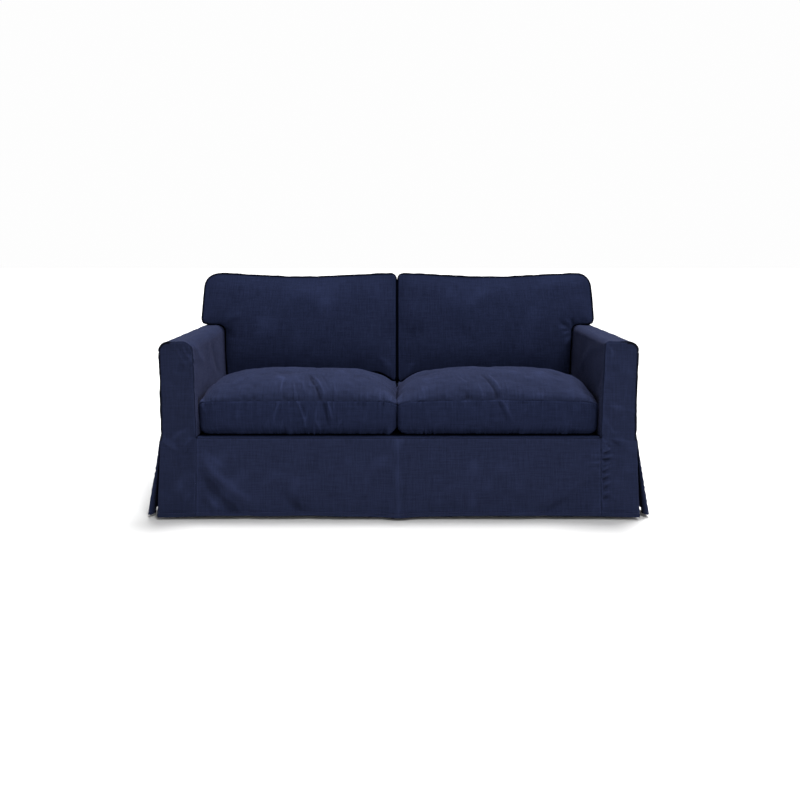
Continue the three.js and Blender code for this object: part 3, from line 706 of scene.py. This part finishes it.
def noise(across, along, detail):
    texture = pattern("Noise", across, along, {"Detail": detail})
    texture.noise_dimensions = "2D"
    return texture.outputs["Fac"]


def sum_of(*terms):
    """Adds up values, each times its own factor, and a last plain number."""
    total = terms[-1]
    for value, factor in terms[:-1]:
        each = node("ShaderNodeMath")
        each.operation = "MULTIPLY_ADD"
        link(value, each.inputs[0])
        fill(each, {1: factor})
        if isinstance(total, float):
            fill(each, {2: total})
        else:
            link(total, each.inputs[2])
        total = each.outputs[0]
    return total


warp = noise(0.0055, 0.085, 1.5)
weft = noise(0.095, 0.0050, 1.5)
fine_warp = noise(0.0022, 0.030, 1.0)
fine_weft = noise(0.034, 0.0020, 1.0)
cloud = noise(0.11, 0.13, 2.0)
threads = pattern("Checker", 0.0009, 0.0009, {}).outputs["Fac"]
tone = sum_of((warp, 0.42), (weft, 0.38), (fine_warp, 0.30), (fine_weft, 0.28), (cloud, 0.18),
              (wear_and_highlight_in.outputs["Fac"], 0.45), (threads, 0.10), 0.16)
# Painted shade darkens the tone.
shaded_tone = node("ShaderNodeMath")
shaded_tone.operation = "MULTIPLY"
link(tone, shaded_tone.inputs[0])
link(sum_of((painted_shade_in.outputs["Fac"], -0.98), 1.0), shaded_tone.inputs[1])
colour = node("ShaderNodeMix")
colour.data_type = "RGBA"
colour.clamp_factor = False
fill(colour, {6: (0, 0, 0, 1), 7: (0.0117, 0.0157, 0.0385, 1)})
link(shaded_tone.outputs[0], colour.inputs[0])
height = sum_of((warp, 0.9), (weft, 0.8), (fine_warp, 0.8), (fine_weft, 0.7), (threads, 0.35), 0.0)
outputs = node("NodeGroupOutput")
link(colour.outputs[2], outputs.inputs["Color"])
link(height, outputs.inputs["Height"])

cloth_material = painted("navy weave", {
    "Roughness": 0.92, "Specular IOR Level": 0.04, "Sheen Weight": 0.038,
    "Sheen Roughness": 0.45, "Sheen Tint": (0.50, 0.52, 1.0, 1)})
tree = cloth_material.node_tree
nodes, links = tree.nodes, tree.links
group, bump = nodes.new("ShaderNodeGroup"), nodes.new("ShaderNodeBump")
shader = nodes["Principled BSDF"]
group.node_tree = weave
fill(bump, {"Strength": 0.6, "Distance": 0.0007})
links.new(group.outputs["Color"], shader.inputs["Base Color"])
links.new(group.outputs["Height"], bump.inputs["Height"])
links.new(bump.outputs["Normal"], shader.inputs["Normal"])
# A shaded copy of the weave, without sheen or specular, for the cloths in and beside the gaps.
in_gaps = ("deck", "inside_back", "seat_boxing", "back_boxing", "back_face")
gap_material = cloth_material.copy()
gap_material.name = "navy weave, flat nap"
fill(gap_material.node_tree.nodes["Principled BSDF"], {"Specular IOR Level": 0, "Sheen Weight": 0})


def body_pucker(p):
    """Most gathered beside the right arm's front below the deck and at the left arm's top."""
    x, _, z = p.T
    low_right = bell((x - 0.752) / 0.03) * bell((z - 0.200) / 0.10)
    high_left = bell((x + 0.775) / 0.03) * bell((z - 0.590) / 0.07)
    return 0.0010 + 0.0026 * low_right + 0.0024 * high_left


def body_soft(p):
    """Rounder along the front edge of the deck than elsewhere."""
    return np.where((p[:, 1] < -0.43) & (np.abs(p[:, 2] - deck_top) < 0.012), 0.015, 0.006)


sew(cover, body_soft, body_pucker)
for cloth in loose:
    sew([cloth], lambda p: 0.004, lambda p: 0)

# ---- Hem stitches ----
# One row of plain machine stitches holds each hem, every stitch a short, slack end of thread.
stitches = bpy.data.node_groups.new("machine stitches", "GeometryNodeTree")
stitches.is_modifier = True
for label, kind, way in (("Curve", "Geometry", "INPUT"), ("Pitch", "Float", "INPUT"),
                         ("Thread", "Float", "INPUT"), ("Material", "Material", "INPUT"),
                         ("Stitches", "Geometry", "OUTPUT")):
    stitches.interface.new_socket(label, in_out=way, socket_type="NodeSocket" + kind)
node, link = stitches.nodes.new, stitches.links.new
given, result = node("NodeGroupInput"), node("NodeGroupOutput")
spots, body, shape, along, real, finish = (
    node("GeometryNode" + kind) for kind in ("ResampleCurve", "MeshCylinder", "InstanceOnPoints",
                                             "InputTangent", "RealizeInstances", "SetMaterial"))
long, turned, pick = (node(kind) for kind in ("ShaderNodeMath", "FunctionNodeAlignRotationToVector",
                                              "FunctionNodeRandomValue"))
spots.mode = "LENGTH"
body.fill_type = "TRIANGLE_FAN"
fill(body, {"Vertices": 6, "Side Segments": 3})
long.operation = "MULTIPLY"
fill(long, {1: 0.78})
turned.axis = "Z"
pick.data_type = "FLOAT_VECTOR"
fill(pick, {0: (0.85, 0.85, 0.90), 1: (1.15, 1.15, 1.05), "Seed": 3})
for start, out, end, into in (
        (given, "Curve", spots, "Curve"), (given, "Pitch", spots, "Length"),
        (given, "Thread", body, "Radius"), (given, "Pitch", long, 0), (long, 0, body, "Depth"),
        (along, "Tangent", turned, "Vector"), (spots, "Curve", shape, "Points"),
        (body, "Mesh", shape, "Instance"), (turned, "Rotation", shape, "Rotation"),
        (pick, 0, shape, "Scale"), (shape, "Instances", real, "Geometry"),
        (real, "Geometry", finish, "Geometry"), (given, "Material", finish, "Material"),
        (finish, "Geometry", result, "Stitches")):
    link(start.outputs[out], end.inputs[into])

thread_material = painted("navy thread", {
    "Base Color": (0.022, 0.027, 0.068, 1), "Roughness": 0.7, "Specular IOR Level": 0.2})
sockets = {item.name: item.identifier for item in stitches.interface.items_tree}
for cloth in cover:
    if "with_pieces" not in cloth["facts"]:
        continue
    on_line = np.flatnonzero(np.abs(cloth["flat"][:, 1] - stitch_line) < 1e-6)
    on_line = on_line[np.argsort(cloth["flat"][on_line, 0])]
    stitch_row = (cloth["finished"] + 0.0002 * cloth["normal"])[on_line]
    curve = bpy.data.curves.new("hem line", "CURVE")
    curve.dimensions = "3D"
    spline = curve.splines.new("POLY")
    spline.points.add(len(stitch_row) - 1)
    spline.points.foreach_set("co", np.insert(stitch_row, 3, 1, axis=1).ravel())
    line = add("hem line", curve)
    maker = line.modifiers.new("stitches", "NODES")
    maker.node_group = stitches
    maker[sockets["Pitch"]] = 0.0042
    maker[sockets["Thread"]] = 0.0005
    maker[sockets["Material"]] = thread_material
    evaluated = line.evaluated_get(bpy.context.evaluated_depsgraph_get())
    hem = add(cloth["name"] + "_hem", bpy.data.meshes.new_from_object(evaluated))
    bpy.data.objects.remove(line)
    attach(hem, "root")

# ---- Seat cushion covers ----
# Two boxed covers: a crowned top, a boxing strip round all four sides and a flat bottom. The
# filling swells the top steeply from its seam, and the back cushions press its rear down.
meet_left = 0.006
seat_side_gap, seat_set, seat_back, seat_round = 0.0006, 0.036, 0.647, 0.015
seat_crown, front_reach, seat_bulge = 0.088, 0.200, 0.016
seat_foot, seat_foot_round = deck_top + 0.0004, 0.034
press_from, press_to = 0.38, 0.74
# The front seam's height at its ends and its middle, and the crown's reach from each side.
seat_shape = {
    "left": (0.422, 0.423, 0.245, 0.270),
    "right": (0.419, 0.427, 0.235, 0.262),
}
# The part of each seat's width, from its inner edge, that is creased and cut finer.
crease_zone = {"left": (0.190, 0.480), "right": (0.220, 0.450)}
# By x, and the distance behind the front seam.
top_creases = {"left": [
    (-444, 85, -441, -20, 4.8, 3.2, 3), (-432, 70, -437, -10, -3.4, 3, 2),
    (-402, 55, -384, -15, 3.6, 2.7, 1), (-394, 50, -374, -15, -2.6, 2.7, 1),
    (-345, 95, -284, -20, -6.2, 3.5, 4), (-334, 110, -268, -10, 4.8, 3.8, 4),
    (-360, 120, -330, 20, 2.6, 3, 3), (-322, 70, -310, -15, 3, 2.6, 1),
    (-420, 130, -360, 30, 2.4, 6, 4), (-500, 160, -440, 70, 2, 10, 6),
    (-260, 200, -200, 90, 2.2, 12, -10), (-250, 60, -232, -10, 2.4, 3, 1),
    (-640, 60, -560, 140, 1.8, 11, 5), (-120, 150, -60, 40, 2, 9, 4),
    (-372, 75, -352, 5, 3, 2.7, 2), (-356, 130, -306, 40, -2.6, 3, 3),
    (-298, 110, -262, 20, -2.6, 3.2, 2), (-470, 60, -462, -15, 2.2, 3, 1),
], "right": [
    (325, 115, 382, -20, -5.6, 3.5, 4), (342, 125, 398, -10, 4.6, 4, 4),
    (228, 90, 258, 45, 3, 3.3, 0), (236, 100, 270, 50, -2, 3.3, 0),
    (300, 45, 322, -15, 2.6, 2.7, 0), (410, 60, 420, -10, 2, 2.7, 1),
    (450, 150, 520, 60, 2.2, 12, 6), (140, 90, 200, 170, 1.8, 11, -6),
    (640, 70, 560, 150, 1.8, 11, -5), (90, 55, 98, -10, 1.8, 3, 1),
]}
boxing_creases = {"left": [
    (-439, 440, -470, 330, 4.8, 3.5, 6), (-428, 436, -455, 350, -3, 3.2, 5),
    (-390, 436, -350, 345, 4.4, 3.2, -4), (-378, 430, -345, 360, -2.6, 3, -3),
    (-292, 445, -262, 322, -6, 3.6, -4), (-277, 440, -243, 340, 4.8, 3.6, -3),
    (-335, 405, -354, 312, 4.2, 3.3, 2), (-326, 400, -343, 318, -2.6, 3, 2),
    (-258, 435, -222, 335, 3, 3.8, -2), (-206, 376, -234, 314, 3.4, 3.2, 1),
    (-470, 385, -505, 316, 2.4, 6, 2), (-412, 400, -398, 330, 2.4, 3.3, 1),
    (-310, 360, -290, 310, 2.6, 3.2, 1), (-610, 400, -590, 330, 1.6, 10, 2),
    (-365, 385, -345, 320, 3.2, 3, -2), (-302, 420, -314, 345, 3.4, 3, 2),
    (-240, 400, -228, 330, -2.4, 3.3, -1), (-425, 385, -440, 320, 2.6, 3.2, 1),
    (-110, 400, -130, 330, 1.6, 10, 1),
], "right": [
    (358, 445, 410, 340, -5.2, 3.5, -5), (374, 442, 430, 346, 4.4, 3.6, -4),
    (300, 400, 330, 325, 2.2, 6, -2), (392, 380, 396, 312, 2.4, 3.5, 1),
    (480, 410, 450, 340, 2, 8, 2), (600, 390, 640, 330, 1.8, 10, 2),
    (130, 400, 160, 335, 1.8, 10, 2),
]}


def rest_z(x):
    """The height at which the back covers stand on the seats, lower at both their ends."""
    return rest_top - 0.038 * (1 - ease(x / 0.10)) - 0.012 * ease((x - 0.60) / 0.10)


for side, name in sides:
    seam_ends, seam_middle, inside_reach, outside_reach = seat_shape[name]
    inside = 0.0012 - side * meet_left
    width, depth = seam_low - seat_side_gap - inside, seat_back - seat_set
    centre = (side * 0.37, -0.1, 0.36)

    def seat_place(a, b, z):
        """The point at shares a, inner edge to arm, and b, front to back, its corners rounded."""
        u, v, r = a * width, b * depth, seat_round
        dx = np.maximum(0, r - np.minimum(u, width - u)) / r
        dy = np.maximum(0, r - np.minimum(v, depth - v)) / r
        in_x = r * dx * (1 - np.sqrt(1 - dy**2 / 2))
        in_y = r * dy * (1 - np.sqrt(1 - dx**2 / 2))
        u = np.where(u < width / 2, u + in_x, u - in_x)
        v = np.where(v < depth / 2, v + in_y, v - in_y)
        y = front_at + seat_set + v
        x = inside + (arm_x(y, z) - seat_side_gap - inside) * u / width
        return place(side * x, y, z)

    def seat_seam(a, b):
        front_z = seam_ends + (seam_middle - seam_ends) * (1 - (2 * a - 1) ** 2)
        front_z -= 0.013 * np.abs(2 * a - 1) ** 18
        rear_z = rest_top - 0.034 + 0.018 * a
        return front_z + (rear_z - front_z) * b

    def seat_top(a, b):
        seam = seat_seam(a, b)
        free = seat_crown
        for far, reach in ((a * width, inside_reach), ((1 - a) * width, outside_reach),
                           (b * depth, front_reach)):
            free *= np.sqrt(1 - (1 - np.clip(far / reach, 0, 1)) ** 2)
        end_fall = 1 - np.clip((b - 0.96) / 0.04, 0, 1) ** 2
        rest = (rest_z(inside + a * width) - seam) * end_fall
        rest *= np.minimum(1, 1.6 * (1 - np.abs(2 * a - 1) ** 9))
        return seam + free + (rest - free) * ease((b - press_from) / (press_to - press_from))

    a, zone = marks(0, width, 0.0042), crease_zone[name]
    a = join(a[a < zone[0]], np.arange(*zone, 0.0027), a[a > zone[1]]) / width
    b = marks(0, depth, 0.0034) / depth
    b = join(b[b < 0.26], np.linspace(0.265, 0.5, 28), np.linspace(0.51, 0.98, 26), b[-4:])
    share_a, share_b = np.meshgrid(a, b)
    points = seat_place(share_a, share_b, seat_top(share_a, share_b))
    x, y, _ = points.reshape(-1, 3).T
    relief = creases(top_creases[name], place(x, y - front_at - seat_set))
    relief += 0.0013 * uneven(points, 0.12, 30 + side)
    relief += 0.0005 * uneven(points, 0.045, 33 + side)
    relief *= 1 - ease((share_b.ravel() - 0.62) / 0.08)
    # Painted shade along the side and rear seams, faint along the front seam.
    top = cut(
        "seat_top_" + name, points, net(points), place(x, y), centre, (0.80, 0.68), relief,
        line=np.where(share_b * depth < 0.012, 0.12, 0.95), rests_on=["seat_boxing_" + name])

    loop_a = join(a, np.ones(len(b) - 1), a[-2::-1], np.zeros(len(b) - 2))
    loop_b = join(np.zeros(len(a)), b[1:], np.ones(len(a) - 1), b[-2:0:-1])
    rings = []
    for t in marks(0, 0.125, 0.0052) / 0.125:
        z = seat_foot + (seat_seam(loop_a, loop_b) - seat_foot) * t
        out = seat_bulge * math.sin(math.pi * t) * (1 - ease(loop_b / 0.04))
        ring = seat_place(loop_a, loop_b, z)
        ring[:, 1] -= out * (1 - np.abs(2 * loop_a - 1) ** 8)
        low = 1 - np.clip((z - seat_foot) / seat_foot_round, 0, 1)
        tuck = seat_foot_round * (1 - np.sqrt(1 - low**2))
        ring[:, 0] += side * tuck * (1 - 2 * loop_a)
        ring[:, 1] += 0.15 * tuck * (1 - 2 * loop_b)
        rings.append(ring)
    points = np.stack(rings)
    x, y, z = points.reshape(-1, 3).T
    relief = creases(boxing_creases[name], place(x, z)) * (y < front_at + 0.08)
    relief += 0.0008 * uneven(points, 0.07, 36 + side)
    relief = np.minimum(relief, np.where(np.abs(y) < 0.36, 0.0004, 1))
    # Painted shade: faint over the whole boxing, dark beside the arm, the other seat and the back,
    # and in the fold along the deck, with darker painted shade along the bottom seam than the top
    # one.
    beside = 0.08 + 0.87 * ease((y - front_at - seat_set - 0.016) / 0.014)
    low = z - seat_foot
    boxing = cut(
        "seat_boxing_" + name, points, net(points, closed=True),
        place(gone(points[0]), points[:, :, 2]), centre, (2.72, 0.155), relief,
        np.maximum(beside, 0.95 * (1 - ease(low / 0.007))), np.where(low < 0.05, 0.9, 0.12))

    flat, faces = filled(points[0][::2, :2], 0.026)
    bottom = cut(
        "seat_bottom_" + name, place(*flat.T, seat_foot), faces, flat, centre, (0.78, 0.64),
        rests_on=["deck"])
    sew([top, boxing, bottom], lambda p: 0.010, lambda p: 0.0030, 0.0014, 40 + side)

# ---- Back cushion covers ----
# Each back cover is boxed too. It leans on the panel behind it, stands on the seat cover, and
# has a lobe at its upper outer corner that lies over the arm. Its top edge dips in the middle.
cushion_lean, cushion_thick, cushion_foot, cushion_top = 0.333, 0.145, 0.4464, 0.884
lobe_tuck, lobe_round, tuck_round, foot_round, top_round = 0.858, 0.064, 0.031, 0.018, 0.028
cushion_crown, crown_reach, top_dip, rear_drop, top_puff = 0.043, 0.080, 0.015, 0.047, 0.005
lobe_reach = {"left": 0.887, "right": 0.881}
lobe_foot = arm_top + 0.0004
# x is out from the middle.
face_creases = {"left": [
    (800, 655, 700, 700, 3.4, 10, 4), (790, 640, 720, 600, -3, 10, 4),
    (450, 840, 300, 700, 1.4, 30, 20), (100, 520, 20, 470, 3.4, 10, 3),
    (640, 780, 560, 600, 2.3, 30, -20), (240, 560, 360, 480, 2.3, 24, 10),
], "right": [
    (770, 626, 722, 616, 4.4, 5, 2), (770, 633, 706, 642, 4.8, 5.6, 3),
    (768, 630, 726, 630, -4, 4.6, 2), (772, 636, 740, 682, 5, 5.4, 4),
    (764, 638, 716, 668, -4, 5.2, 3), (784, 642, 772, 686, -3.6, 4.8, 2),
    (798, 648, 800, 684, 3.2, 5, 0), (768, 604, 730, 566, 3.6, 6.6, 2),
    (80, 500, 20, 450, 3.8, 9, 2), (420, 820, 260, 680, 2.3, 30, 20),
    (560, 560, 700, 500, 2.3, 24, 10),
]}


def beside_arm(z):
    """Where a back cover's outer side stands, just clear of the arm."""
    return arm_x(back_plane, z) - 0.0025


for side, name in sides:
    inside, lobe_x = 0.0015 - side * meet_left, lobe_reach[name]
    tuck_z = lobe_foot - tuck_round
    foot_z, top_z, lobe_z = (cushion_foot + foot_round, cushion_top - top_round,
                             cushion_top - lobe_round)
    swell_z = np.linspace(lobe_foot + 0.008, lobe_z, 24)
    swell = np.sqrt(1 - (1 - np.clip((swell_z - lobe_foot) / 0.036, 0, 1)) ** 2)
    outline = join(
        run((inside + foot_round, cushion_foot),
            (beside_arm(cushion_foot) - foot_round, cushion_foot), 0.0075),
        turn(beside_arm(foot_z), foot_z, -foot_round, -foot_round, 6)[::-1][:-1],
        run((beside_arm(foot_z), foot_z), (beside_arm(tuck_z), tuck_z), 0.0075),
        turn(beside_arm(shoulder), tuck_z, tuck_round, tuck_round, 8)[:-1],
        run((beside_arm(shoulder) + tuck_round, lobe_foot), (lobe_tuck - 0.008, lobe_foot), 0.006),
        [(lobe_tuck - 0.008, lobe_foot), (lobe_tuck - 0.002, lobe_foot + 0.0026)],
        place(lobe_tuck + (lobe_x - lobe_tuck) * swell, swell_z)[:-1],
        turn(lobe_x, lobe_z, -lobe_round, lobe_round, 9)[:-1],
        run((lobe_x - lobe_round, cushion_top), (inside + top_round, cushion_top), 0.0075),
        turn(inside, top_z, top_round, top_round, 6)[::-1][:-1],
        run((inside, top_z), (inside, foot_z), 0.0075),
        turn(inside, foot_z, foot_round, -foot_round, 6)[:-1],
    )

    def cushion_place(x, z, far, proud=0.0):
        """A point of the outline's plane: far is 0 on the face's seam and 1 on the rear's."""
        sag = top_dip * np.sin(np.pi * np.clip((x / lobe_x - 0.04) / 0.88, 0, 1)) ** 1.5
        low = (rest_z(x) - rest_top) * (1 - ease((z - cushion_foot) / 0.060))
        z = z - sag * ease((z - 0.700) / (cushion_top - 0.700)) + low
        tip = np.clip((z - arm_top) / (cushion_top - arm_top), 0, 1)
        y = front_at + 0.500 + (z - rest_top) * cushion_lean + far * cushion_thick - proud
        return place(side * x, y, z - far * rear_drop * tip)

    centre = (side * 0.43, 0.20, 0.69)
    flat, faces = filled(outline, 0.0060)
    x, z = flat.T
    deep = edge_distance(flat, outline, np.roll(outline, -1, axis=0))[0]
    crown = cushion_crown * (1 - np.exp(-deep / 0.020))
    for far in (x - inside, lobe_x - x, z - cushion_foot, cushion_top - z):
        crown *= 1 - np.exp(-np.maximum(far, 0) / crown_reach)
    points = cushion_place(x, z, 0, crown)
    relief = creases(face_creases[name], flat)
    relief += 0.0011 * uneven(points, 0.20, 50 + side) + 0.0002 * uneven(points, 0.05, 53 + side)
    # Dark painted shade along the outer outline, fainter along the inner side.
    face = cut(
        "back_face_" + name, points, faces, flat, centre, (0.90, 0.46), relief,
        line=np.where(x < inside + 0.020, 0.5, 1.7), area=0.39)

    far = (marks(0, cushion_thick, 0.009) / cushion_thick)[:, None]
    points = cushion_place(*outline.T, far)
    puff = ease((outline[:, 1] - cushion_top + 0.040) / 0.040)
    points[:, :, 2] += top_puff * np.sin(math.pi * far) * puff
    x, y, z = points.reshape(-1, 3).T
    relief = 0.0009 * uneven(points, 0.08, 56 + side)
    middle_side = np.abs(x) < 0.012
    relief = np.where(middle_side, 0.0016, np.where(z > 0.70, relief, np.minimum(relief, 0)))
    back = np.linspace(0, 1, len(far))[:, None] * cushion_thick + 0 * outline[:, 0]
    # Painted shade next to the face's seam, low down, and on the sides in the middle gap, with
    # painted shade along the seams.
    edge_shade = 0.85 * bell(back.ravel() / 0.012)
    low_shade = 0.9 * (1 - ease((z - 0.50) / 0.06))
    boxing = cut(
        "back_boxing_" + name, points, net(points, closed=True), place(gone(points[0]), back),
        centre, (2.66, 0.175), relief,
        np.maximum(np.maximum(edge_shade, low_shade), 0.9 * middle_side), 0.9)

    flat, faces = filled(outline, 0.022)
    points = cushion_place(*flat.T, 1)
    rear = cut(
        "back_rear_" + name, points, faces, flat, centre, (0.90, 0.44),
        -0.001 + 0.0004 * uneven(points, 0.10, 60), rests_on=["inside_back"], area=0.36)
    sew([face, boxing, rear], lambda p: 0.012, lambda p: 0.0004, 0.0016, 60 + side)

# ---- Stage ----
floor_mesh = bpy.data.meshes.new("floor")
ground = [(x, y, -0.010) for x, y in ((-30, -30), (30, -30), (30, 30), (-30, 30))]
floor_mesh.from_pydata(ground, [], [(0, 1, 2, 3)])
floor_mesh.materials.append(painted("pale floor", {
    "Base Color": (0.60, 0.60, 0.60, 1), "Roughness": 0.9, "Specular IOR Level": 0}))
floor = add("floor", floor_mesh)

lens = bpy.data.cameras.new("camera")
lens.sensor_width, lens.lens = 36, 36 * 746 / 800
lens.shift_x, lens.shift_y = 0.003125, -0.1925
camera = add("camera", lens)
camera.location = (-0.004, -3.21, 1.006)
camera.rotation_euler = (math.radians(90), 0, 0)
bpy.context.scene.camera = camera

# The room is white up to about twenty degrees above the floor's edge and dim overhead.
world = bpy.data.worlds.new("studio")
world.use_nodes = True
bpy.context.scene.world = world
nodes, links = world.node_tree.nodes, world.node_tree.links
way, split, fall = (nodes.new("ShaderNode" + kind)
                    for kind in ("TexCoord", "SeparateXYZ", "MapRange"))
fall.interpolation_type = "SMOOTHSTEP"
fill(fall, {"From Min": 0.34, "From Max": 0.72, "To Min": 0.985, "To Max": 0.26})
links.new(way.outputs["Generated"], split.inputs["Vector"])
links.new(split.outputs["Z"], fall.inputs["Value"])
links.new(fall.outputs["Result"], nodes["Background"].inputs["Strength"])
fill(nodes["Background"], {"Color": (1, 1, 1, 1)})
# Each light's name, strength, width and turn, both in degrees.
for name, strength, wide, way in (("softbox", 5.6, 26, (-15, 9, 0)),
                                  ("side light", 1.78, 20, (38, 0, 34))):
    light = add(name, bpy.data.lights.new(name, "SUN"))
    light.data.energy = strength
    light.data.angle = math.radians(wide)
    light.rotation_euler = [math.radians(angle) for angle in way]
bpy.context.scene.view_settings.view_transform = "Standard"
